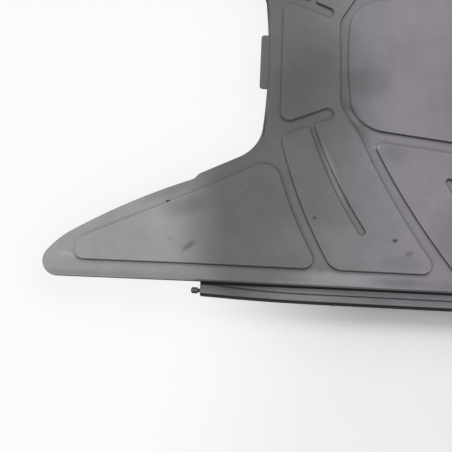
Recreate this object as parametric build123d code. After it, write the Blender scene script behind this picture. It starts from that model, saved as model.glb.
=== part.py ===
from build123d import *
import math
import os

# A scooter floorboard: one injection moulding in polypropylene, in millimetres.
# X runs along the scooter with the wing tips at the back, Y runs across it, and the posts stand on Z = 0.

# Overall sizes
LENGTH = 482.6
BOARD_WIDTH = 380.0
WING_LENGTH = 160.8
FLOOR_WALL = 2.8
POST_LENGTH = 14.0

# Outline of the board
TIP_RADIUS = 12.1
NOSE_ANGLE = 54.1
NOSE_FLAT = 1.4
WING_TIP_BREADTH = 24.3
WING_BULGE = 6.1
BAY_HALF_WIDTH = 80.4
WAIST_BOW = 5.2
WAIST_FILLET = 32.3
NOTCH_SETBACK = 52.0
NOTCH_STEP = 2.5
NOTCH_RUN = 3.5
NOTCH_ROUND = 1.6
FRONT_CORNER = 30.0
EDGE_BREAK = 1.0

# Slight droop of the wings behind the bend
BEND_SETBACK = 46.0
BEND_RADIUS = 160.0
WING_DROOP = 1.5

# Raised tread pads and the channels between them
PAD_HEIGHT = 2.0
PAD_WALL = 2.2
PAD_EDGE_BREAK = 0.5
SIDE_BORDER = 12.2
WING_BORDER = 12.2
FRONT_BORDER = 16.0
PAD_CORNER = 7.4
WING_PAD_SETBACK = 23.2
WING_PAD_NOSE = 16.1
WING_PAD_NOSE_LOWER = 7.4
WING_PAD_NOSE_UPPER = 9.0
WING_PAD_BEND = 80.0
WING_PAD_TOP_CORNER = 13.0
WING_PAD_TOP = 7.3
WING_PAD_END = 41.9
WING_PAD_BOW = 3.4
REAR_CHANNEL = 9.0

# Middle pad, one piece across the board, with a T-shaped groove on each side
MIDDLE_PAD_LENGTH = 78.3
MIDDLE_PAD_BACK = 10.3
MIDDLE_PAD_LOWER_BACK = 11.2
MIDDLE_PAD_REAR_BOW = 4.4
MIDDLE_PAD_FRONT_BOW = 3.5
MIDDLE_PAD_BACK_CORNER = 7.0
MIDDLE_PAD_LOWER_CORNER = 4.5
MIDDLE_PAD_HEEL = 11.6
ELBOW_AHEAD = 8.0
ELBOW_OUT = 6.9
ELBOW_ROUND = 25.0
NECK_IN = 19.3
NECK_ROUND = 22.0
ARM_SETBACK = 9.9
ARM_OUT = 48.2
ARM_ANGLE = 24.3
ARM_WIDTH = 9.8
STEM_TOP_AHEAD = 32.8
STEM_TOP_WIDTH = 4.1
STEM_TOP_ROUND = 2.4
STEM_END_AHEAD = 72.5
STEM_END_FROM_BORDER = 31.0
STEM_END_ANGLE = -60.0
STEM_BOW = 3.2
ROUND_SHORT = 0.1

# Centre pad and the row of pads in front, with a slanting groove in each
CENTRE_PAD_AHEAD = 64.0
CENTRE_PAD_BOW = 4.5
CENTRE_PAD_OUT = 59.5
CENTRE_PAD_CORNER = 29.0
CENTRE_PAD_FLARE = 7.1
CENTRE_CHANNEL = 6.7
CENTRE_SIDE_CHANNEL = 9.8
FRONT_PAD_LENGTH = 78.0
FRONT_CHANNEL = 11.9
FRONT_PAD_SPLAY = 1.7
FRONT_PAD_BOW = 3.4
FRONT_PAD_TOP_CORNER = 4.5
GROOVE_WIDTH = 5.8
GROOVE_SETBACK = 39.5
GROOVE_TOP = 103.3
GROOVE_BOW = 1.2

# Stepped ledge along each side, with a locating peg at its rear end
LEDGE_WIDTH = 11.0
LEDGE_REAR_SETBACK = 44.0
LEDGE_FRONT_GAP = 44.0
LEDGE_DROP = 5.8
LEDGE_LIP = 4.2
LEDGE_WALL = 2.5
LEDGE_TAPER = 2.2
LEDGE_TAPER_LENGTH = 80.0
STRIP_WIDTH = 4.4
STRIP_HEIGHT = 0.8
STRIP_RUNOUT = 70.0
STRIP_SETBACK = 3.6
LEDGE_CORNER = 1.5
PEG_NECK_DIAMETER = 2.8
PEG_NECK_LENGTH = 1.7
PEG_HEAD_DIAMETER = 4.5
PEG_HEAD_LENGTH = 4.7
PEG_LEAD = 0.9
PEG_OUT = 5.2

# Flanges, tongue, ribs and screw posts under the floor
FLANGE_DEPTH = 12.0
FLANGE_WALL = 2.5
FLANGE_DRAFT = 1.5
TONGUE_WIDTH = 50.0
TONGUE_REACH = 7.0
TONGUE_WALL = 2.5
TONGUE_DROP = 1.6
TONGUE_CORNER = 2.5
RIB_WALL = 1.8
RIB_DEPTH = 10.0
RIB_FIRST = 30.0
RIB_PITCH_X = 70.0
RIB_PITCH_Y = 62.0
RIB_END_GAP = 1.0
POST_DIAMETER = 11.0
POST_HOLE_DIAMETER = 4.2
POST_HOLE_DEPTH = 11.0
POST_REAR_RIB = 0
POST_FRONT_RIB = 3
POST_SIDE_RIB = 2

# How near two places are to count as one
SAME_PLACE = 0.01

# Places worked out from the sizes
REAR_X = -LENGTH / 2
FRONT_X = LENGTH / 2
SIDE_Y = -BOARD_WIDTH / 2
WAIST_X = REAR_X + WING_LENGTH
FLOOR_Z = POST_LENGTH + FLOOR_WALL
BORDER_Y = SIDE_Y + SIDE_BORDER
BEND_X = WAIST_X - BEND_SETBACK
LEDGE_REAR_X = WAIST_X - LEDGE_REAR_SETBACK
LEDGE_FRONT_X = FRONT_X - LEDGE_FRONT_GAP
LEDGE_Z = FLOOR_Z - LEDGE_DROP
LIP_Z = LEDGE_Z - LEDGE_LIP


def rounded_outline(corners):
    """A face whose corners are (x, y, radius, bow of the side that follows), listed anticlockwise."""
    sides = []
    for (x, y, radius, bow), (next_x, next_y, *rest) in zip(corners, corners[1:] + corners[:1]):
        start = (x, y)
        end = (next_x, next_y)
        sides.append(SagittaArc(start, end, bow) if bow else Line(start, end))
    face = make_face(sides)
    for x, y, radius, bow in corners:
        if radius:
            face = fillet(face.vertices().sort_by_distance((x, y))[0], radius)
    return face


def both_sides(half, middle_bow=0.0):
    """Repeats the corners of one side of the board on the other, for an outline that crosses the middle."""
    bows = [middle_bow] + [corner[3] for corner in half[:-1]]
    other = [(x, -y, radius, bow) for (x, y, radius, rest), bow in zip(half[::-1], bows[::-1])]
    return half + other


def mirrored(shape):
    """The shape together with its copy on the other side of the board."""
    return shape + mirror(shape, about=Plane.XZ)


def height_on_line(point, slope, x):
    """The Y of a straight line through a point, at another X."""
    return point[1] + slope * (x - point[0])


def floor_line(depth):
    """Points of the floor's side view at a depth below its top: front, bend start, middle, end and tail."""
    radius = BEND_RADIUS - depth
    droop = math.radians(WING_DROOP)
    centre_z = FLOOR_Z - BEND_RADIUS

    def on_bend(angle):
        return (BEND_X - radius * math.sin(angle), centre_z + radius * math.cos(angle))

    bend_end = on_bend(droop)
    tail = (bend_end[0] - LENGTH * math.cos(droop), bend_end[1] - LENGTH * math.sin(droop))
    return [(LENGTH, FLOOR_Z - depth), on_bend(0.0), on_bend(droop / 2), bend_end, tail]


def floor_layer(upper, lower):
    """The layer of the board between two depths below the floor's top, across the whole width."""
    top = floor_line(upper)
    under = floor_line(lower)
    side_view = make_face([
        Line(top[0], top[1]),
        ThreePointArc(top[1], top[2], top[3]),
        Line(top[3], top[4]),
        Line(top[4], under[4]),
        Line(under[4], under[3]),
        ThreePointArc(under[3], under[2], under[1]),
        Line(under[1], under[0]),
        Line(under[0], top[0]),
    ])
    return extrude(Plane.XZ * side_view, BOARD_WIDTH, both=True)


def runout_bow(offset_y, run):
    """The bow of an arc that leaves a straight line smoothly and drifts off it by an offset over a run."""
    radius = (offset_y**2 + run**2) / (2 * offset_y)
    return radius - math.sqrt(radius**2 - (offset_y**2 + run**2) / 4)


def rim_edges(shape, height):
    """The edges of a shape that lie at a height above the floor's top, without the seams of the bend."""
    bend_end_x = floor_line(-height)[3][0]
    rim = []
    for edge in shape.edges():
        middle = edge @ 0.5
        across = abs((edge @ 0).X - (edge @ 1).X) < SAME_PLACE
        seam = across and min(abs(middle.X - BEND_X), abs(middle.X - bend_end_x)) < SAME_PLACE
        if abs(middle.Z - floor_top(middle.X, height)) < SAME_PLACE and not seam:
            rim.append(edge)
    return rim


def floor_top(x, height):
    """The Z of the surface at a height above the floor's top."""
    front, bend_start, bend_middle, bend_end, tail = floor_line(-height)
    if x > bend_start[0]:
        return front[1]
    if x > bend_end[0]:
        radius = BEND_RADIUS + height
        return FLOOR_Z - BEND_RADIUS + math.sqrt(radius**2 - (x - BEND_X)**2)
    return bend_end[1] + (x - bend_end[0]) * math.tan(math.radians(WING_DROOP))


def upright(plan):
    """A plan drawn at Z = 0, carried well above and below the board."""
    return extrude(plan, 2 * FLOOR_Z, both=True)


# Board outline: round wing tips, bulging wing edges, a notch where the waist flange starts, a bowed waist
knee = (WAIST_X - WAIST_BOW, -BAY_HALF_WIDTH)
wing_start = (REAR_X, SIDE_Y + WING_TIP_BREADTH)
wing_slope = (knee[1] - NOTCH_STEP - wing_start[1]) / (knee[0] - wing_start[0])
nose_angle = math.radians(NOSE_ANGLE)
nose_slope = math.tan(nose_angle)
tip_reach = TIP_RADIUS / math.tan(nose_angle / 2)
tip_corner = (REAR_X + TIP_RADIUS - tip_reach, SIDE_Y)
nose_drop = height_on_line(wing_start, wing_slope, tip_corner[0]) - SIDE_Y
shoulder_x = tip_corner[0] + nose_drop / (nose_slope - wing_slope)
shoulder = (shoulder_x, height_on_line(wing_start, wing_slope, shoulder_x))
shoulder_reach = math.dist(shoulder, tip_corner) - tip_reach - NOSE_FLAT
notch_x = WAIST_X - NOTCH_SETBACK
notch_inner = (notch_x + NOTCH_RUN / 2, height_on_line(knee, wing_slope, notch_x + NOTCH_RUN / 2))
notch_outer = (notch_x - NOTCH_RUN / 2, height_on_line(wing_start, wing_slope, notch_x - NOTCH_RUN / 2))
bulge_x = (shoulder_x + notch_outer[0]) / 2
bulge = (bulge_x, height_on_line(wing_start, wing_slope, bulge_x) + WING_BULGE)
bulge_slope = WING_BULGE / (bulge_x - shoulder_x)
bulge_reach = math.dist(shoulder, bulge) - shoulder_reach - NOSE_FLAT
rear_angle = math.atan(wing_slope + bulge_slope)
fore_angle = math.atan(wing_slope - bulge_slope)
bulge_radius = bulge_reach / math.tan((rear_angle - fore_angle) / 2)
shoulder_radius = shoulder_reach / math.tan((nose_angle - rear_angle) / 2)
board_outline = rounded_outline(both_sides([
    (*knee, WAIST_FILLET, 0.0),
    (*notch_inner, NOTCH_ROUND, 0.0),
    (*notch_outer, NOTCH_ROUND, 0.0),
    (*bulge, bulge_radius, 0.0),
    (*shoulder, shoulder_radius, 0.0),
    (*tip_corner, TIP_RADIUS, 0.0),
    (FRONT_X, SIDE_Y, FRONT_CORNER, 0.0),
], WAIST_BOW))

# Wing pad: a long triangle that follows the wing's edges
wing_pad_bend = (notch_outer[0], notch_outer[1] - WING_BORDER)
wing_pad_nose_x = REAR_X + WING_PAD_SETBACK
wing_pad_top_x = WAIST_X + WING_PAD_TOP
wing_pad_end_x = WAIST_X + WING_PAD_END
wing_pad = rounded_outline([
    (wing_pad_nose_x, BORDER_Y, WING_PAD_NOSE_LOWER, 0.0),
    (wing_pad_end_x, BORDER_Y, PAD_CORNER, WING_PAD_BOW),
    (wing_pad_top_x, height_on_line(wing_pad_bend, wing_slope, wing_pad_top_x), WING_PAD_TOP_CORNER, 0.0),
    (*wing_pad_bend, WING_PAD_BEND, 0.0),
    (wing_pad_nose_x, BORDER_Y + WING_PAD_NOSE, WING_PAD_NOSE_UPPER, 0.0),
])

# Middle pad: crosses the board, with a T-shaped groove whose arm opens into the border at the waist
centre_pad_x = WAIST_X + CENTRE_PAD_AHEAD
neck_x = centre_pad_x - CENTRE_CHANNEL
arm_angle = math.radians(ARM_ANGLE)
arm_slope = math.tan(arm_angle)
arm_along = (math.cos(arm_angle), math.sin(arm_angle))
arm_half = ARM_WIDTH / 2
arm_tip = (neck_x - ARM_SETBACK + arm_half * arm_along[0], -ARM_OUT + arm_half * arm_along[1])
arm_upper = (arm_tip[0] - arm_half * arm_along[1], arm_tip[1] + arm_half * arm_along[0])
arm_lower = (arm_tip[0] + arm_half * arm_along[1], arm_tip[1] - arm_half * arm_along[0])
arm_round = arm_half - ROUND_SHORT
stem_angle = math.radians(STEM_END_ANGLE)
stem_half = GROOVE_WIDTH / 2
stem_tip = (
    WAIST_X + STEM_END_AHEAD + stem_half * math.cos(stem_angle),
    BORDER_Y + STEM_END_FROM_BORDER + stem_half * math.sin(stem_angle),
)
stem_across = (stem_half * math.sin(stem_angle), -stem_half * math.cos(stem_angle))
stem_right = (stem_tip[0] - stem_across[0], stem_tip[1] - stem_across[1])
stem_left = (stem_tip[0] + stem_across[0], stem_tip[1] + stem_across[1])
stem_round = stem_half - ROUND_SHORT
stem_top_x = WAIST_X + STEM_TOP_AHEAD
middle_back_x = WAIST_X + MIDDLE_PAD_BACK
middle_lower_back_x = WAIST_X + MIDDLE_PAD_LOWER_BACK
middle_heel_x = wing_pad_end_x + REAR_CHANNEL
middle_toe_x = middle_heel_x + MIDDLE_PAD_LENGTH
elbow = (centre_pad_x + ELBOW_AHEAD, -CENTRE_PAD_OUT - ELBOW_OUT)
middle_pad = rounded_outline(both_sides([
    (middle_back_x, height_on_line(arm_upper, arm_slope, middle_back_x), MIDDLE_PAD_BACK_CORNER, 0.0),
    (*arm_upper, arm_round, 0.0),
    (*arm_lower, arm_round, 0.0),
    (
        stem_top_x + STEM_TOP_WIDTH,
        height_on_line(arm_lower, arm_slope, stem_top_x + STEM_TOP_WIDTH),
        STEM_TOP_ROUND,
        -STEM_BOW,
    ),
    (*stem_right, stem_round, 0.0),
    (*stem_left, stem_round, STEM_BOW),
    (stem_top_x, height_on_line(arm_lower, arm_slope, stem_top_x), STEM_TOP_ROUND, 0.0),
    (
        middle_lower_back_x,
        height_on_line(arm_lower, arm_slope, middle_lower_back_x),
        MIDDLE_PAD_LOWER_CORNER,
        -MIDDLE_PAD_REAR_BOW,
    ),
    (middle_heel_x, BORDER_Y, MIDDLE_PAD_HEEL, 0.0),
    (middle_toe_x, BORDER_Y, PAD_CORNER, MIDDLE_PAD_FRONT_BOW),
    (*elbow, ELBOW_ROUND, 0.0),
    (neck_x, NECK_IN - CENTRE_PAD_OUT, NECK_ROUND, 0.0),
]))

# Centre pad: widens towards the front, with a large round corner at each side
pad_front_x = FRONT_X - FRONT_BORDER
flare = -math.tan(math.radians(CENTRE_PAD_FLARE))
centre_corner = (centre_pad_x + CENTRE_PAD_BOW, -CENTRE_PAD_OUT)
centre_pad = rounded_outline(both_sides([
    (*centre_corner, CENTRE_PAD_CORNER, 0.0),
    (pad_front_x, height_on_line(centre_corner, flare, pad_front_x), PAD_CORNER, 0.0),
], -CENTRE_PAD_BOW))

# Front pads: slanting ends like the middle pad's, each with a groove that runs out before the border
middle_slant = math.atan((middle_toe_x - elbow[0]) / (elbow[1] - BORDER_Y))
slant = math.tan(middle_slant + math.radians(FRONT_PAD_SPLAY))
front_line = (centre_corner[0], centre_corner[1] - CENTRE_SIDE_CHANNEL)


def slant_top(bottom_x):
    """Where a slanting pad end that starts at the side border meets the front pads' inner line."""
    drop = height_on_line(front_line, flare, bottom_x) - BORDER_Y
    x = bottom_x - slant * drop / (1 + slant * flare)
    return (x, height_on_line(front_line, flare, x))


front_pads_x = middle_toe_x + FRONT_CHANNEL
front_pad_pitch = FRONT_PAD_LENGTH + FRONT_CHANNEL
last_pad_least = GROOVE_SETBACK + GROOVE_WIDTH + PAD_CORNER
last_pad = math.floor((pad_front_x - front_pads_x - last_pad_least) / front_pad_pitch)
front_pads = Sketch()
for i in range(last_pad + 1):
    start_x = front_pads_x + i * front_pad_pitch
    end_x = start_x + FRONT_PAD_LENGTH
    if i == last_pad:
        far_end = [
            (pad_front_x, BORDER_Y, PAD_CORNER, 0.0),
            (pad_front_x, height_on_line(front_line, flare, pad_front_x), PAD_CORNER, 0.0),
        ]
    else:
        far_end = [
            (end_x, BORDER_Y, PAD_CORNER, FRONT_PAD_BOW),
            (*slant_top(end_x), FRONT_PAD_TOP_CORNER, 0.0),
        ]
    pad = rounded_outline([
        (*slant_top(start_x), FRONT_PAD_TOP_CORNER, -FRONT_PAD_BOW),
        (start_x, BORDER_Y, PAD_CORNER, 0.0),
        *far_end,
    ])
    groove_end_y = stem_tip[1]
    groove_x = start_x + GROOVE_SETBACK
    groove_start = (groove_x - slant * (-GROOVE_TOP - BORDER_Y), -GROOVE_TOP)
    groove_end = (groove_x - slant * (groove_end_y - BORDER_Y), groove_end_y)
    front_pads += pad - SlotArc(SagittaArc(groove_start, groove_end, -GROOVE_BOW), GROOVE_WIDTH)

pads = mirrored(wing_pad) + middle_pad + centre_pad + mirrored(front_pads)

# Floor with its pads: the same wall follows up into each pad, so the underside is hollow there
floor = upright(board_outline) & floor_layer(0.0, FLOOR_WALL)
floor = chamfer(rim_edges(floor, 0.0), EDGE_BREAK)
raised = upright(pads) & floor_layer(-PAD_HEIGHT, FLOOR_WALL / 2)
raised = chamfer(rim_edges(raised, PAD_HEIGHT), PAD_EDGE_BREAK)
hollows = upright(offset(pads, -PAD_WALL)) & floor_layer(FLOOR_WALL - PAD_HEIGHT, 2 * FLOOR_WALL)

# Waist flange: turned down along the edge from notch to notch, leaning out towards the bay
waist_edges = [
    edge for edge in board_outline.edges()
    if notch_inner[0] < (edge @ 0.5).X < middle_back_x and abs((edge @ 0.5).Y) < abs(notch_inner[1])
]
waist_path = Wire(waist_edges, sequenced=True)
path_start = waist_path @ 0
path_along = waist_path % 0
path_out = Vector(-path_along.Y, path_along.X, 0)
if path_out.dot(Vector(REAR_X, 0, 0) - path_start) < 0:
    path_out = -path_out
flange_lean = (FLANGE_DEPTH - FLOOR_WALL / 2) * math.tan(math.radians(FLANGE_DRAFT))
flange_section = make_face(Polyline(
    path_start + Vector(0, 0, FLOOR_Z - FLOOR_WALL / 2),
    path_start + Vector(0, 0, FLOOR_Z - FLANGE_DEPTH) + path_out * flange_lean,
    path_start + Vector(0, 0, FLOOR_Z - FLANGE_DEPTH) + path_out * (flange_lean - FLANGE_WALL),
    path_start + Vector(0, 0, FLOOR_Z - FLOOR_WALL / 2) - path_out * FLANGE_WALL,
    close=True,
))
waist_flange = sweep(flange_section, waist_path)

# Front flange: the same wall, upright, round the front edge between the ledges
front_zone = Pos((LEDGE_FRONT_X + FRONT_X) / 2, 0) * Rectangle(LEDGE_FRONT_GAP, BOARD_WIDTH)
front_band = (board_outline - offset(board_outline, -FLANGE_WALL)) & front_zone
front_flange = Pos(0, 0, FLOOR_Z - FLANGE_DEPTH) * extrude(front_band, FLANGE_DEPTH - FLOOR_WALL / 2)

# Tongue: a tab in the middle of the waist that slips under the panel behind
tongue_outer_x = WAIST_X - TONGUE_REACH
tongue_plan = rounded_outline(both_sides([
    (tongue_outer_x, -TONGUE_WIDTH / 2, TONGUE_CORNER, 0.0),
    (WAIST_X + FLANGE_WALL, -TONGUE_WIDTH / 2, 0.0, 0.0),
]))
tongue = Pos(0, 0, FLOOR_Z - TONGUE_DROP - TONGUE_WALL) * extrude(tongue_plan, TONGUE_WALL)

# Side ledge: stepped down from the floor, with a lip outside and a narrow raised strip along the step
ledge_outer_y = SIDE_Y - LEDGE_WIDTH
taper_end_x = LEDGE_REAR_X + LEDGE_TAPER_LENGTH
ledge_plan = rounded_outline([
    (LEDGE_REAR_X, ledge_outer_y + LEDGE_TAPER, LEDGE_CORNER, -runout_bow(LEDGE_TAPER, LEDGE_TAPER_LENGTH)),
    (taper_end_x, ledge_outer_y, 0.0, 0.0),
    (LEDGE_FRONT_X, ledge_outer_y, LEDGE_CORNER, 0.0),
    (LEDGE_FRONT_X, SIDE_Y + LEDGE_WALL, 0.0, 0.0),
    (LEDGE_REAR_X, SIDE_Y + LEDGE_WALL, 0.0, 0.0),
])
ledge = Pos(0, 0, LIP_Z) * extrude(ledge_plan, LEDGE_LIP)
ledge -= Pos(0, 0, LIP_Z) * extrude(offset(ledge_plan, -LEDGE_WALL), LEDGE_LIP - LEDGE_WALL)
step_plan = Pos((LEDGE_REAR_X + LEDGE_FRONT_X) / 2, SIDE_Y + LEDGE_WALL / 2) * Rectangle(
    LEDGE_FRONT_X - LEDGE_REAR_X, LEDGE_WALL
)
ledge += Pos(0, 0, LIP_Z) * extrude(step_plan, FLOOR_Z - FLOOR_WALL / 2 - LIP_Z)
strip_start_x = LEDGE_REAR_X + STRIP_SETBACK
strip_plan = rounded_outline([
    (strip_start_x, SIDE_Y, 0.0, -runout_bow(STRIP_WIDTH, STRIP_RUNOUT)),
    (strip_start_x + STRIP_RUNOUT, SIDE_Y - STRIP_WIDTH, 0.0, 0.0),
    (LEDGE_FRONT_X, SIDE_Y - STRIP_WIDTH, 0.0, 0.0),
    (LEDGE_FRONT_X, SIDE_Y + LEDGE_WALL / 2, 0.0, 0.0),
    (strip_start_x, SIDE_Y + LEDGE_WALL / 2, 0.0, 0.0),
])
ledge += Pos(0, 0, LEDGE_Z - LEDGE_WALL / 2) * extrude(strip_plan, LEDGE_WALL / 2 + STRIP_HEIGHT)

# Locating peg: a mushroom head on a short neck, turned about a line along the board
peg_length = PEG_NECK_LENGTH + PEG_HEAD_LENGTH
peg_profile = rounded_outline([
    (-LEDGE_WALL / 2, 0.0, 0.0, 0.0),
    (peg_length, 0.0, 0.0, 0.0),
    (peg_length, PEG_HEAD_DIAMETER / 2 - PEG_LEAD, 0.0, 0.0),
    (peg_length - PEG_LEAD, PEG_HEAD_DIAMETER / 2, 0.0, 0.0),
    (PEG_NECK_LENGTH, PEG_HEAD_DIAMETER / 2, 0.0, 0.0),
    (PEG_NECK_LENGTH, PEG_NECK_DIAMETER / 2, 0.0, 0.0),
    (-LEDGE_WALL / 2, PEG_NECK_DIAMETER / 2, 0.0, 0.0),
])
peg_place = Pos(LEDGE_REAR_X, SIDE_Y - PEG_OUT, LIP_Z + LEDGE_LIP / 2) * Rot(0, 0, 180)
peg = peg_place * revolve(peg_profile, Axis.X)
ledges = mirrored(ledge + peg)

# Ribs: a square grid under the floor, kept to the hollow of the pad on the wings
rib_top = (FLOOR_WALL - PAD_HEIGHT) / 2
first_rib_x = WAIST_X + RIB_FIRST
ribs_behind = math.floor((first_rib_x - wing_pad_nose_x) / RIB_PITCH_X)
ribs_ahead = math.floor((pad_front_x - first_rib_x) / RIB_PITCH_X)
ribs_aside = math.floor(-BORDER_Y / RIB_PITCH_Y)
rib_xs = [first_rib_x + i * RIB_PITCH_X for i in range(-ribs_behind, ribs_ahead + 1)]
rib_ys = [i * RIB_PITCH_Y for i in range(-ribs_aside, ribs_aside + 1)]
floor_zone = Pos((LEDGE_REAR_X + FRONT_X) / 2, 0) * Rectangle(FRONT_X - LEDGE_REAR_X, BOARD_WIDTH)
rib_zone = (offset(board_outline, -RIB_END_GAP) & floor_zone) + mirrored(wing_pad)
rib_lines = Sketch()
for x in rib_xs:
    rib_lines += Pos(x, 0) * Rectangle(RIB_WALL, BOARD_WIDTH)
for y in rib_ys:
    rib_lines += Pos(0, y) * Rectangle(LENGTH, RIB_WALL)
ribs = upright(rib_lines & rib_zone) & floor_layer(rib_top, FLOOR_WALL + RIB_DEPTH)

# Screw posts: four, each on a crossing of two ribs, with a blind hole for a thread-forming screw
post_places = [
    (first_rib_x + along * RIB_PITCH_X, across * RIB_PITCH_Y, 0)
    for along in (POST_REAR_RIB, POST_FRONT_RIB)
    for across in (-POST_SIDE_RIB, POST_SIDE_RIB)
]
upwards = (Align.CENTER, Align.CENTER, Align.MIN)
posts = Part()
holes = Part()
for place in post_places:
    posts += Pos(place) * Cylinder(POST_DIAMETER / 2, FLOOR_Z - rib_top, align=upwards)
    holes += Pos(place) * Cylinder(POST_HOLE_DIAMETER / 2, POST_HOLE_DEPTH, align=upwards)

floorboard = floor + raised - hollows + waist_flange + front_flange + tongue + ledges + ribs + posts - holes

os.makedirs("parts", exist_ok=True)
export_step(floorboard, "parts/floorboard.step")
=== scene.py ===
import math
import bpy
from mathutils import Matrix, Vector


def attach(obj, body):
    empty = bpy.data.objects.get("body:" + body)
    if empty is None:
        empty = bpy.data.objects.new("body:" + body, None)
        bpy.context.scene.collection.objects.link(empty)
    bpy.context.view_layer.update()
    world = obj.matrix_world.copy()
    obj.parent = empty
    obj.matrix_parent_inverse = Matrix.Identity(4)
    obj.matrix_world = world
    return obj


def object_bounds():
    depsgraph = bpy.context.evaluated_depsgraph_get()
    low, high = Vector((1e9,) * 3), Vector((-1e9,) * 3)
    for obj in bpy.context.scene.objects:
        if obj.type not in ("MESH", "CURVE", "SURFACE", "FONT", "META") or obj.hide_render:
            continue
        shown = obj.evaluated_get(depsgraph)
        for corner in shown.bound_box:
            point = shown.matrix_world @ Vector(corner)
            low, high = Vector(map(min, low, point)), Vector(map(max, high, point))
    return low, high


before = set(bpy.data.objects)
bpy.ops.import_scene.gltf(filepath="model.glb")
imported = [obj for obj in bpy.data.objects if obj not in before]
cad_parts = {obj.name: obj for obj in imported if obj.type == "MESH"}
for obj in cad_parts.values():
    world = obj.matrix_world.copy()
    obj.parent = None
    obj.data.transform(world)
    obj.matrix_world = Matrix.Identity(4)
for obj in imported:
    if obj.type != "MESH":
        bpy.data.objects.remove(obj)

cad_lowest, cad_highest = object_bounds()
bpy.ops.object.select_all(action="DESELECT")


# The floorboard: one injection moulding in black polypropylene with a fine moulded grain.
# Years of shoes, sun and dust have faded its upper side to grey, more on the wings and the front pads,
# while the walls of the pads, the step of the ledge and the underside are still nearly black.
# The colour also holds painted light and shade: a sheen on the wings, and shade in creases, on edges and on
# the ledge.

def add_node(tree, kind, inputs=None, **settings):
    """Adds a node; an input given as a socket is linked, and any other value is set on its own socket."""
    made = tree.nodes.new(kind)
    for name, value in settings.items():
        setattr(made, name, value)
    for key, value in (inputs or {}).items():
        if isinstance(value, bpy.types.NodeSocket):
            tree.links.new(value, made.inputs[key])
        else:
            made.inputs[key].default_value = value
    return made


def calculate(tree, operation, first, second, clamp=False):
    """The result of a sum, difference or the like of two values."""
    made = add_node(tree, "ShaderNodeMath", {0: first, 1: second}, operation=operation, use_clamp=clamp)
    return made.outputs["Value"]


def calculate_vector(tree, operation, first, second):
    """The result of a sum, difference or the like of two vectors, part by part."""
    made = add_node(tree, "ShaderNodeVectorMath", {0: first, 1: second}, operation=operation)
    return made.outputs["Vector"]


def multiply(tree, *values):
    """The product of two or more values."""
    product = values[0]
    for value in values[1:]:
        product = calculate(tree, "MULTIPLY", product, value)
    return product


def ramp(tree, value, start, end, low=0.0, high=1.0):
    """A smooth change from low to high as a value goes from start to end."""
    ends = {"Value": value, "From Min": start, "From Max": end, "To Min": low, "To Max": high}
    return add_node(tree, "ShaderNodeMapRange", ends, interpolation_type="SMOOTHSTEP").outputs["Result"]


def mix_colours(tree, share, first, second):
    """The first colour where the share is 0, the second where it is 1."""
    made = add_node(tree, "ShaderNodeMix", {0: share, 6: first, 7: second}, data_type="RGBA")
    return made.outputs[2]


def noise(tree, place, size, detail=2.0, roughness=0.5):
    """A noise node, from 0 to 1, whose blotches are about a size across, in metres."""
    inputs = {"Vector": place, "Scale": 1 / size, "Detail": detail, "Roughness": roughness}
    return add_node(tree, "ShaderNodeTexNoise", inputs)


# Height of the tread, which the soft ovals are centred on
TREAD_HEIGHT = 0.0178


def patch(tree, place, spot):
    """A soft oval on the board's plan, 1 in its middle and 0 at its edge."""
    x, y, length, breadth, turn = spot
    centred = add_node(
        tree,
        "ShaderNodeMapping",
        {
            "Vector": place,
            "Location": (x, y, TREAD_HEIGHT),
            "Rotation": (0.0, 0.0, math.radians(turn)),
            "Scale": (length / 2, breadth / 2, TREAD_HEIGHT),
        },
        vector_type="TEXTURE",
    )
    inputs = {"Vector": centred.outputs["Vector"]}
    return add_node(tree, "ShaderNodeTexGradient", inputs, gradient_type="SPHERICAL").outputs["Fac"]


def blacken(tree, fade, share):
    """The fading with a share of it taken away, towards the fresh black, for dark marks and for painted
    shade.
    """
    return multiply(tree, fade, calculate(tree, "SUBTRACT", 1.0, share))


def bleach(tree, fade, share):
    """The fading with a share of it added."""
    return multiply(tree, fade, calculate(tree, "ADD", 1.0, share))


def draw_in(tree, ahead, ends, depth):
    """How far an edge of the ledge draws in: nothing at the second end, and a depth at the first."""
    gone = calculate(tree, "SUBTRACT", ends[1], ahead)
    gone = calculate(tree, "DIVIDE", gone, ends[1] - ends[0], clamp=True)
    return multiply(tree, calculate(tree, "POWER", gone, 2.0), depth)


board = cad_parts["floorboard"]
plastic = bpy.data.materials.new("faded_polypropylene_with_painted_light")
plastic.use_nodes = True
tree = plastic.node_tree
shader = tree.nodes["Principled BSDF"]
place = add_node(tree, "ShaderNodeTexCoord").outputs["Object"]
axes = add_node(tree, "ShaderNodeSeparateXYZ", {"Vector": place})
ahead = axes.outputs["X"]
off_middle = calculate(tree, "ABSOLUTE", axes.outputs["Y"], 0.0)
height = axes.outputs["Z"]

# Unevenness: broad clouds of fading, smears left by shoes, and the moulded grain
CLOUD_SIZE = 0.055
CLOUD_DETAIL = 4.0
CLOUD_ROUGHNESS = 0.55
SMEAR_SIZE = 0.012
SMEAR_DETAIL = 3.0
GRAIN_SIZE = 0.0006
GRAIN_DETAIL = 1.0
NOISE_MIDDLE = 0.5
clouds = noise(tree, place, CLOUD_SIZE, CLOUD_DETAIL, CLOUD_ROUGHNESS).outputs["Fac"]
smear_noise = noise(tree, place, SMEAR_SIZE, SMEAR_DETAIL)
smears = smear_noise.outputs["Fac"]
grain = noise(tree, place, GRAIN_SIZE, GRAIN_DETAIL).outputs["Fac"]
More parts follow.
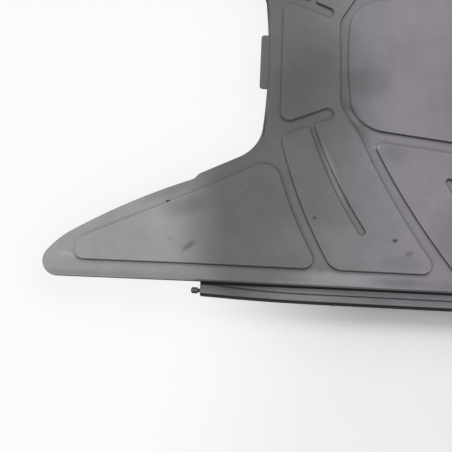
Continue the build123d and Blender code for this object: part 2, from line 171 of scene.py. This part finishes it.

# Fading, from 0 for fresh black to 1 for the faded colour: most on the wings, least at the waist;
# beyond the bend, the wings' extra is partly real fading and partly a painted sheen
BASE_FADE = 0.275
WING_SHEEN_AND_FADE = 0.40
WING_BEND_SPAN = (-0.106, -0.158)
FRONT_EXTRA = 0.25
FRONT_FADE = (-0.085, 0.06)
FADE_MIDDLE = 0.148
FADE_LEAN = -0.10
FADE_WANDER = 0.02
lean = multiply(tree, calculate(tree, "SUBTRACT", off_middle, FADE_MIDDLE), FADE_LEAN)
wander = multiply(tree, calculate(tree, "SUBTRACT", clouds, NOISE_MIDDLE), FADE_WANDER)
along = calculate(tree, "ADD", calculate(tree, "ADD", ahead, lean), wander)
fade = calculate(tree, "ADD", ramp(tree, along, *WING_BEND_SPAN, 0.0, WING_SHEEN_AND_FADE), BASE_FADE)
fade = calculate(tree, "ADD", fade, ramp(tree, along, *FRONT_FADE, 0.0, FRONT_EXTRA))

# The border outside the pads is rubbed paler, and the unevenness shows all over
BORDER_EXTRA = 0.22
BORDER_INNER = (0.176, 0.181)
BORDER_OUTER = (0.1905, 0.1895)
BORDER_REAR = (-0.155, -0.120)
BORDER_FRONT = (0.030, 0.0)
BLOTCH_SPAN = (0.25, 0.75)
CLOUD_CHANGE = (0.93, 1.07)
SMEAR_CHANGE = (0.96, 1.04)
GRAIN_SPAN = (0.35, 0.65)
GRAIN_CHANGE = (0.95, 1.05)
border = multiply(
    tree,
    ramp(tree, off_middle, *BORDER_INNER),
    ramp(tree, off_middle, *BORDER_OUTER),
    ramp(tree, ahead, *BORDER_REAR),
    ramp(tree, ahead, *BORDER_FRONT),
)
fade = bleach(tree, fade, multiply(tree, border, BORDER_EXTRA))
fade = multiply(
    tree,
    fade,
    ramp(tree, clouds, *BLOTCH_SPAN, *CLOUD_CHANGE),
    ramp(tree, smears, *BLOTCH_SPAN, *SMEAR_CHANGE),
    ramp(tree, grain, *GRAIN_SPAN, *GRAIN_CHANGE),
)

# Marks with ragged edges, each as x, y, length, breadth, turn in degrees, and strength;
# most are marks of use, and those noted below are painted shade or painted light
DARK_MARKS_AND_SHADE = [
    # The next two ovals are painted shade, darkening the pads in the middle of the board
    (-0.0400, -0.0260, 0.1050, 0.1650, 0.0, 0.31),
    (-0.0020, -0.0180, 0.0600, 0.0500, 0.0, 0.22),
    (0.0400, -0.1960, 0.1100, 0.0220, 0.0, 0.22),
    (-0.1530, -0.1200, 0.0600, 0.0160, 25.0, 0.20),
    (-0.1560, -0.1830, 0.0900, 0.0160, 0.0, 0.14),
    (0.1050, -0.0350, 0.1700, 0.2000, 0.0, 0.22),
    (0.0190, -0.0800, 0.0300, 0.0260, 0.0, 0.16),
    (0.0600, -0.1850, 0.0700, 0.0120, 0.0, 0.14),
    (0.0650, -0.1480, 0.0700, 0.0700, 0.0, 0.24),
    (-0.0130, -0.0510, 0.0700, 0.0150, -65.0, 0.30),
    # Painted shadow: a thin dark line along the waist's edge, where the flange's lip shades a gap
    (-0.0822, -0.0620, 0.0330, 0.0020, 86.4, 0.60),
    (-0.1485, -0.1590, 0.0080, 0.0060, 0.0, 0.16),
    (-0.0425, -0.1378, 0.0045, 0.0040, 0.0, 0.55),
    (0.0162, -0.1530, 0.0060, 0.0045, 20.0, 0.75),
    (0.0261, -0.1626, 0.0085, 0.0065, 30.0, 0.30),
    # Painted shadow, soft, beside the clump of mud on the near wing
    (-0.1390, -0.1330, 0.0560, 0.0230, 14.0, 0.22),
    (-0.1281, -0.1952, 0.0130, 0.0100, 0.0, 0.45),
    (0.0190, -0.1845, 0.0600, 0.0100, 1.0, 0.27),
    (0.0006, -0.0877, 0.0030, 0.0030, 0.0, 0.60),
    (0.0200, -0.1700, 0.0400, 0.0180, 0.0, 0.13),
    (0.0050, -0.1977, 0.0320, 0.0100, 0.0, 0.15),
]
PALE_MARKS_AND_LIGHT = [
    (-0.0330, -0.1840, 0.0800, 0.0160, 1.0, 0.36),
    (-0.0460, -0.1600, 0.1300, 0.0600, 0.0, 0.14),
    # Painted light: the groove's floor made paler against the shade of its walls
    (-0.0290, -0.1010, 0.0760, 0.0080, -71.0, 0.46),
    (-0.0510, -0.1380, 0.0850, 0.0110, -70.0, 0.10),
    (-0.2225, -0.1742, 0.0200, 0.0060, -12.0, 0.20),
    (-0.1460, -0.1800, 0.0200, 0.0040, 1.0, 0.10),
    (0.0046, -0.0760, 0.0080, 0.0050, -40.0, 0.35),
    # Painted highlight in the channel round the corner of a pad
    (-0.0135, -0.0495, 0.0240, 0.0080, -52.0, 0.60),
    # Painted light: lifts the step's shadow on the ledge and its strip
    (-0.0550, -0.1955, 0.1100, 0.0200, 0.0, 0.75),
    (-0.0939, -0.1143, 0.0024, 0.0018, 60.0, 0.60),
    # Painted light: lifts the step's shadow on the front of the strip
    (0.0480, -0.1925, 0.0900, 0.0080, 0.0, 0.22),
]
MARK_SPAN = (0.0, 0.8)
MARK_RAGGED = (0.003, 0.003, 0.0)
shift = calculate_vector(tree, "SUBTRACT", smear_noise.outputs["Color"], (NOISE_MIDDLE,) * 3)
ragged = calculate_vector(tree, "ADD", place, calculate_vector(tree, "MULTIPLY", shift, MARK_RAGGED))
for *spot, strength in DARK_MARKS_AND_SHADE:
    fade = blacken(tree, fade, ramp(tree, patch(tree, ragged, spot), *MARK_SPAN, 0.0, strength))
for *spot, strength in PALE_MARKS_AND_LIGHT:
    fade = bleach(tree, fade, ramp(tree, patch(tree, ragged, spot), *MARK_SPAN, 0.0, strength))

# Painted shade darkens creases on the pads' far side; their near-left edges are rubbed paler and carry a
# painted highlight
CREASE_REACH = 0.0080
CREASE_SIDE = (-0.50, -0.62, 0.60)
CREASE_SPAN = (0.40, 0.80)
CREASE_SHADE = 0.85
EDGE_REACH = 0.0013
EDGE_SIDE = (0.50, 0.62, 0.60)
EDGE_SPAN = (0.75, 0.95)
EDGE_WEAR_AND_HIGHLIGHT = 0.12
FEELER_RAYS = 8
crease_shade = add_node(
    tree,
    "ShaderNodeAmbientOcclusion",
    {"Distance": CREASE_REACH, "Normal": CREASE_SIDE},
    samples=FEELER_RAYS,
)
fade = multiply(tree, fade, ramp(tree, crease_shade.outputs["AO"], *CREASE_SPAN, CREASE_SHADE, 1.0))
# Wear and painted highlight: the edges facing the near left, where the lamp stands, are made paler
edge = add_node(
    tree,
    "ShaderNodeAmbientOcclusion",
    {"Distance": EDGE_REACH, "Normal": EDGE_SIDE},
    samples=FEELER_RAYS,
    inside=True,
)
fade = multiply(tree, fade, ramp(tree, edge.outputs["AO"], *EDGE_SPAN, 1.0 + EDGE_WEAR_AND_HIGHLIGHT, 1.0))

# Upright walls are still black; painted shade makes the sloping edges facing the near side darker than the
# others, but the rim of the wings and the walls round the waist are worn pale
UPWARD_SPAN = (-0.3, -0.05)
TREAD_FACING = (0.30, 0.85)
TIP_RIM = (0.182, 0.187)
TIP_LENGTH = (-0.165, -0.215)
TIP_RUBBED = 0.65
TIP_FACING = (-0.2, 0.1)
NEAR_FACING = (-0.30, -0.65)
NEAR_SHADE = 0.45
WING_RIM = (0.183, 0.187)
WING_ROOT = (-0.115, -0.135)
WORN_WALLS = (-0.055, -0.025, 0.150, 0.190, 0.0)
WORN_SPAN = (0.0, 0.4)
REAR_FACING = (-0.4, -0.8)
WORN_SHARE = (0.7, 1.0)
normal = add_node(tree, "ShaderNodeNewGeometry").outputs["Normal"]
sides = add_node(tree, "ShaderNodeSeparateXYZ", {"Vector": normal})
upward = ramp(tree, sides.outputs["Z"], *UPWARD_SPAN)
rubbed = multiply(
    tree,
    ramp(tree, off_middle, *TIP_RIM),
    ramp(tree, ahead, *TIP_LENGTH, 0.0, TIP_RUBBED),
    ramp(tree, sides.outputs["Z"], *TIP_FACING),
)
facing = ramp(tree, calculate(tree, "ADD", sides.outputs["Z"], rubbed), *TREAD_FACING)
rim = multiply(tree, ramp(tree, off_middle, *WING_RIM), ramp(tree, ahead, *WING_ROOT))
near = ramp(tree, sides.outputs["Y"], *NEAR_FACING, 1.0, NEAR_SHADE)
facing = multiply(tree, facing, calculate(tree, "MAXIMUM", near, rim))
worn = multiply(
    tree,
    ramp(tree, patch(tree, place, WORN_WALLS), *WORN_SPAN),
    ramp(tree, sides.outputs["X"], *REAR_FACING, *WORN_SHARE),
    upward,
)
fade = multiply(tree, fade, calculate(tree, "MAXIMUM", facing, worn))

# On the ledge the lip's edge and outer wall are black plastic deepened by painted shade,
# and painted shade lies at the foot of the step and along the edge of the raised strip
LEDGE_TOP = 0.0110
LEDGE_EDGE = 0.2010
LEDGE_TAPER = 0.0022
LEDGE_TAPER_X = (-0.1245, -0.0445)
LIP_BAND = 0.0012
LIP_BLUR = (0.0003, 0.0002)
LIP_BLACK_AND_SHADE = 0.04
STEP_EDGE = 0.1900
STEP_BLUR = 0.0001
FOOT_WIDTH = (0.0017, 0.0007)
FOOT_X = (-0.125, -0.020)
FOOT_SPAN = (0.5, 1.1)
FOOT_SHADE = 0.9
STRIP_WIDTH = 0.0044
STRIP_RUNOUT_X = (-0.1209, -0.0509)
STRIP_LINE = 0.0007
STRIP_LINE_BLUR = (0.0003, 0.0004)
STRIP_SHADE = 0.55
BELOW_BAND = (0.1903, 0.1908)
BELOW_DROP = (0.00015, 0.0004)
BELOW_SHADE = 0.6
lip_inner = LEDGE_EDGE - LIP_BAND
reach = calculate(tree, "ADD", off_middle, draw_in(tree, ahead, LEDGE_TAPER_X, LEDGE_TAPER))
lip = ramp(tree, reach, lip_inner - LIP_BLUR[0], lip_inner + LIP_BLUR[1], 1.0, LIP_BLACK_AND_SHADE)
fade = multiply(tree, fade, lip)
on_ledge = ramp(tree, off_middle, STEP_EDGE - STEP_BLUR, STEP_EDGE + STEP_BLUR)
past_step = calculate(tree, "SUBTRACT", off_middle, STEP_EDGE)
foot = calculate(tree, "DIVIDE", past_step, ramp(tree, ahead, *FOOT_X, *FOOT_WIDTH))
fade = blacken(tree, fade, multiply(tree, ramp(tree, foot, *FOOT_SPAN, FOOT_SHADE, 0.0), on_ledge))
strip_inset = draw_in(tree, ahead, STRIP_RUNOUT_X, STRIP_WIDTH)
past_strip = calculate(tree, "SUBTRACT", calculate(tree, "ADD", past_step, strip_inset), STRIP_WIDTH)
line = multiply(
    tree,
    ramp(tree, past_strip, -STRIP_LINE_BLUR[0], 0.0),
    ramp(tree, past_strip, STRIP_LINE + STRIP_LINE_BLUR[1], STRIP_LINE),
    on_ledge,
    STRIP_SHADE,
)
fade = blacken(tree, fade, line)
# Painted shade on the lip's outer wall, below the ledge's top
below = ramp(tree, height, LEDGE_TOP - BELOW_DROP[0], LEDGE_TOP - BELOW_DROP[1], 0.0, BELOW_SHADE)
fade = blacken(tree, fade, multiply(tree, ramp(tree, off_middle, *BELOW_BAND), below))

# The wings darken a little towards their outer rim, and the underside is black below thin dust
ROLL_BAND = (0.1830, 0.1900)
ROLL_OFF = 0.24
UNDER_DUST = 0.085
DUST_SPAN = (0.3, 0.7)
DUST_CHANGE = (0.5, 1.5)
roll = multiply(tree, ramp(tree, off_middle, *ROLL_BAND), ramp(tree, ahead, *WING_ROOT, 0.0, ROLL_OFF))
fade = blacken(tree, fade, roll)
downward = calculate(tree, "SUBTRACT", 1.0, upward)
dust = multiply(tree, downward, UNDER_DUST, ramp(tree, clouds, *DUST_SPAN, *DUST_CHANGE))
fade = calculate(tree, "MAXIMUM", fade, dust)

# The finish: the fading as a colour, one olive stain on the near wing pad, and a dull, grained surface
FRESH_BLACK = (0.009, 0.009, 0.010, 1.0)
FADED_GREY = (0.505, 0.499, 0.511, 1.0)
FADED_MAUVE = (0.516, 0.483, 0.530, 1.0)
STAIN_OLIVE = (0.105, 0.100, 0.078, 1.0)
STAIN = (-0.1340, -0.1644, 0.0165, 0.0068, 37.0)
STAIN_SPAN = (0.0, 0.7)
STAIN_STRENGTH = 0.58
DULLNESS_SPAN = (0.2, 0.8)
DULLNESS = (0.56, 0.68)
SHINE = 0.15
GRAIN_DEPTH = 0.00018
GRAIN_STRENGTH = 0.8
faded = mix_colours(tree, ramp(tree, along, *FRONT_FADE), FADED_GREY, FADED_MAUVE)
colour = mix_colours(tree, fade, FRESH_BLACK, faded)
stain = multiply(tree, ramp(tree, patch(tree, ragged, STAIN), *STAIN_SPAN, 0.0, STAIN_STRENGTH), upward)
colour = mix_colours(tree, stain, colour, STAIN_OLIVE)
tree.links.new(colour, shader.inputs["Base Color"])
tree.links.new(ramp(tree, smears, *DULLNESS_SPAN, *DULLNESS), shader.inputs["Roughness"])
shader.inputs["Specular IOR Level"].default_value = SHINE
bump = add_node(
    tree,
    "ShaderNodeBump",
    {"Height": grain, "Strength": GRAIN_STRENGTH, "Distance": GRAIN_DEPTH},
)
tree.links.new(bump.outputs["Normal"], shader.inputs["Normal"])
board.data.materials[0] = plastic


# Flash: three small flakes of the same plastic that the mould left under the outer edge of the ledge's lip.
# They are one piece with the board.
FLASH_LIP_Z = 0.0069
FLASH_Y = -0.2004
FLASH_THICKNESS = 0.0006
FLASH_FLAKES = [(-0.0276, 0.0016, 0.0030), (0.0402, 0.0052, 0.0020), (0.0554, 0.0040, 0.0022)]
FLAKE_CORNERS = 7
FLAKE_ROOT = 0.5
FLAKE_TIP = 0.22
FLAKE_CUTS = 2
TEAR_SIZE = 0.0010
TEAR_DEPTH = 0.0006
flakes = []
for x, width, drop in FLASH_FLAKES:
    bpy.ops.mesh.primitive_cone_add(
        vertices=FLAKE_CORNERS,
        radius1=FLAKE_ROOT,
        radius2=FLAKE_TIP,
        depth=1.0,
        location=(x, FLASH_Y, FLASH_LIP_Z - drop / 2),
        rotation=(math.pi, 0.0, 0.0),
        scale=(width, FLASH_THICKNESS, drop),
    )
    flakes.append(bpy.context.object)
for flake in flakes:
    flake.select_set(True)
bpy.ops.object.join()
flash = bpy.context.object
flash.name = "flash"
bpy.ops.object.transform_apply(location=True, rotation=True, scale=True)
bpy.ops.object.mode_set(mode="EDIT")
bpy.ops.mesh.subdivide(number_cuts=FLAKE_CUTS)
bpy.ops.object.mode_set(mode="OBJECT")
tears = bpy.data.textures.new("tears", "CLOUDS")
tears.noise_scale = TEAR_SIZE
tear = flash.modifiers.new("tear", "DISPLACE")
tear.texture = tears
tear.strength = TEAR_DEPTH
bpy.ops.object.modifier_apply(modifier=tear.name)
flash.data.materials.append(plastic)
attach(flash, "root")
bpy.ops.object.select_all(action="DESELECT")


# Dirt: a clump of dried mud in the groove beside the wing pad, and a few grains of grit that lie loose.
# It only sticks to the board, so it is no part of the moulding.
MUD = (0.095, 0.090, 0.080, 1.0)
SAND = (0.30, 0.29, 0.27, 1.0)
DIRT_SHADE = 0.6
DIRT_SPOTS = 0.0009
DIRT_SPAN = (0.35, 0.65)
DIRT_ROUGHNESS = 0.9
DIRT_SHINE = 0.2
DIRT_FROM = 0.03
DOWN = Vector((0.0, 0.0, -1.0))
CRUMB_RAISED = 0.3
LUMP_SIZE = 0.0008
LUMP_DEPTH = 0.0006

# Each crumb as x, y, length, breadth, height, turn in degrees, and kind
CRUMBS = [
    (-0.1531, -0.1287, 0.0026, 0.0016, 0.0009, 25.0, "mud"),
    (-0.1514, -0.1285, 0.0014, 0.0011, 0.0006, -10.0, "mud"),
    (-0.1590, -0.1330, 0.0012, 0.0009, 0.0005, 20.0, "sand"),
    (-0.0757, -0.1989, 0.0008, 0.0007, 0.0004, 0.0, "mud"),
    (-0.0685, -0.1970, 0.0008, 0.0006, 0.0004, 35.0, "mud"),
]


def dirt_material(name, colour):
    """Dull dry dirt whose colour varies in small spots."""
    made = bpy.data.materials.new(name)
    made.use_nodes = True
    dirt_tree = made.node_tree
    surface = dirt_tree.nodes["Principled BSDF"]
    where = add_node(dirt_tree, "ShaderNodeTexCoord").outputs["Object"]
    spots = ramp(dirt_tree, noise(dirt_tree, where, DIRT_SPOTS).outputs["Fac"], *DIRT_SPAN)
    darker = tuple(DIRT_SHADE * part for part in colour[:3]) + (1.0,)
    dirt_tree.links.new(mix_colours(dirt_tree, spots, darker, colour), surface.inputs["Base Color"])
    surface.inputs["Roughness"].default_value = DIRT_ROUGHNESS
    surface.inputs["Specular IOR Level"].default_value = DIRT_SHINE
    return made


dirt_kinds = {"mud": dirt_material("dried_mud", MUD), "sand": dirt_material("sand_grain", SAND)}
crumbs = []
for x, y, length, breadth, thickness, turn, kind in CRUMBS:
    under = board.ray_cast(Vector((x, y, DIRT_FROM)), DOWN)[1]
    bpy.ops.mesh.primitive_ico_sphere_add(
        subdivisions=2,
        radius=0.5,
        location=(x, y, under.z + CRUMB_RAISED * thickness),
        rotation=(0.0, 0.0, math.radians(turn)),
        scale=(length, breadth, thickness),
    )
    crumb = bpy.context.object
    bpy.ops.object.transform_apply(location=False, rotation=False, scale=True)
    crumb.data.materials.append(dirt_kinds[kind])
    crumbs.append(crumb)
for crumb in crumbs:
    crumb.select_set(True)
bpy.ops.object.join()
dirt = bpy.context.object
dirt.name = "dirt"
bpy.ops.object.transform_apply(location=True, rotation=True, scale=True)
lumps = bpy.data.textures.new("lumps", "CLOUDS")
lumps.noise_scale = LUMP_SIZE
roughen = dirt.modifiers.new("roughen", "DISPLACE")
roughen.texture = lumps
roughen.strength = LUMP_DEPTH
bpy.ops.object.modifier_apply(modifier=roughen.name)
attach(dirt, "root")
bpy.ops.object.select_all(action="DESELECT")


# The ground: a plain pale sheet that the board lies on, with a white surround.
# It takes the board's shadow, and a painted shadow greys it close to the board;
# to the camera it glows white, a painted light that washes out the shadow on the left and far off, and
# hardly glows at the near right.
GROUND_SIZE = 12.0
GROUND_GAP = 0.0002
GROUND_WHITE = (0.93, 0.935, 0.94, 1.0)
GLOW_WHITE = (0.97, 0.975, 0.98, 1.0)
CONTACT_SHADE_GREY = (0.65, 0.655, 0.66, 1.0)
CONTACT_REACH = 0.055
CONTACT_SPAN = (0.84, 1.01)
GLOW_LEFT = 0.88
GLOW_RIGHT = 0.04
GLOW_FAR = 0.94
GLOW_LEAN = 0.40
GLOW_SPAN = (-0.06, 0.09)
SHADOW_MIDDLE = (0.05, 0.0, 0.0)
SHADOW_REACH = (0.45, 0.90)
bpy.ops.mesh.primitive_plane_add(size=GROUND_SIZE, location=(0.0, 0.0, cad_lowest.z - GROUND_GAP))
ground = bpy.context.object
ground.name = "ground"
bpy.ops.object.transform_apply(location=True, rotation=True, scale=True)
sheet = bpy.data.materials.new("white_sheet")
sheet.use_nodes = True
sheet_tree = sheet.node_tree
sheet_tree.nodes.clear()
rays = add_node(sheet_tree, "ShaderNodeLightPath")
seen = calculate(sheet_tree, "MAXIMUM", rays.outputs["Is Camera Ray"], rays.outputs["Is Glossy Ray"])
seen = calculate(sheet_tree, "MAXIMUM", seen, rays.outputs["Is Transmission Ray"])
spread = add_node(sheet_tree, "ShaderNodeTexCoord").outputs["Object"]
ground_axes = add_node(sheet_tree, "ShaderNodeSeparateXYZ", {"Vector": spread})
aslant = multiply(sheet_tree, ground_axes.outputs["Y"], GLOW_LEAN)
across = calculate(sheet_tree, "SUBTRACT", ground_axes.outputs["X"], aslant)
glow = ramp(sheet_tree, across, *GLOW_SPAN, GLOW_LEFT, GLOW_RIGHT)
apart = add_node(sheet_tree, "ShaderNodeVectorMath", {0: spread, 1: SHADOW_MIDDLE}, operation="DISTANCE")
far_glow = ramp(sheet_tree, apart.outputs["Value"], *SHADOW_REACH, 0.0, GLOW_FAR)
glow = multiply(sheet_tree, calculate(sheet_tree, "MAXIMUM", glow, far_glow), seen)
close = add_node(sheet_tree, "ShaderNodeAmbientOcclusion", {"Distance": CONTACT_REACH}, samples=FEELER_RAYS)
shade = ramp(sheet_tree, close.outputs["AO"], *CONTACT_SPAN)
sheet_colour = mix_colours(sheet_tree, shade, CONTACT_SHADE_GREY, GROUND_WHITE)
lit = add_node(sheet_tree, "ShaderNodeBsdfDiffuse", {"Color": sheet_colour})
white = add_node(sheet_tree, "ShaderNodeEmission", {"Color": GLOW_WHITE, "Strength": 1.0})
both = add_node(sheet_tree, "ShaderNodeMixShader", {0: glow, 1: lit.outputs[0], 2: white.outputs[0]})
add_node(sheet_tree, "ShaderNodeOutputMaterial", {"Surface": both.outputs[0]})
ground.data.materials.append(sheet)


# The light: one large soft lamp at the near left, which reaches across the grooves,
# one high behind the board, and a low even light from all round.
# Each lamp is given by its place, its size and its power in watts.
LAMPS = {
    "side_lamp": ((-0.60, -1.00, 0.70), (0.9, 0.9), 9.0),
    "back_lamp": ((0.15, 0.85, 0.95), (1.2, 0.7), 7.5),
}
SURROUND_WHITE = (1.0, 1.0, 1.0, 1.0)
SURROUND_LIGHT = 0.40
for name, (stand, size, power) in LAMPS.items():
    bpy.ops.object.light_add(type="AREA", location=stand)
    lamp = bpy.context.object
    lamp.name = name
    lamp.data.shape = "RECTANGLE"
    lamp.data.size, lamp.data.size_y = size
    lamp.data.energy = power
    lamp.rotation_euler = (-lamp.location).to_track_quat("-Z", "Y").to_euler()
world = bpy.data.worlds.new("surround")
bpy.context.scene.world = world
world.use_nodes = True
world_tree = world.node_tree
background = world_tree.nodes["Background"]
world_rays = add_node(world_tree, "ShaderNodeLightPath")
shown = calculate(
    world_tree, "MAXIMUM", world_rays.outputs["Is Camera Ray"], world_rays.outputs["Is Transmission Ray"]
)
world_tree.links.new(ramp(world_tree, shown, 0.0, 1.0, SURROUND_LIGHT, 1.0), background.inputs["Strength"])
background.inputs["Color"].default_value = SURROUND_WHITE


# The camera: a plain lens above the near wing, looking steeply down, as the photograph was taken.
# Its place and its angle of view make the board's edges lie where they do in the photograph.
CAMERA_TARGET = Vector((-0.108035, -0.146842, 0.0168))
CAMERA_DISTANCE = 0.5707
CAMERA_AZIMUTH = math.radians(3.0)
CAMERA_ELEVATION = math.radians(68.0)
CAMERA_VIEW = math.radians(32.7)
SENSOR_WIDTH = 36.0
level_part = math.cos(CAMERA_ELEVATION)
back = Vector((
    math.sin(CAMERA_AZIMUTH) * level_part,
    -math.cos(CAMERA_AZIMUTH) * level_part,
    math.sin(CAMERA_ELEVATION),
))
bpy.ops.object.camera_add(location=CAMERA_TARGET + back * CAMERA_DISTANCE)
camera = bpy.context.object
camera.name = "camera"
camera.rotation_euler = (-back).to_track_quat("-Z", "Y").to_euler()
camera.data.sensor_width = SENSOR_WIDTH
camera.data.angle = CAMERA_VIEW
bpy.context.scene.camera = camera
bpy.context.scene.view_settings.view_transform = "Standard"
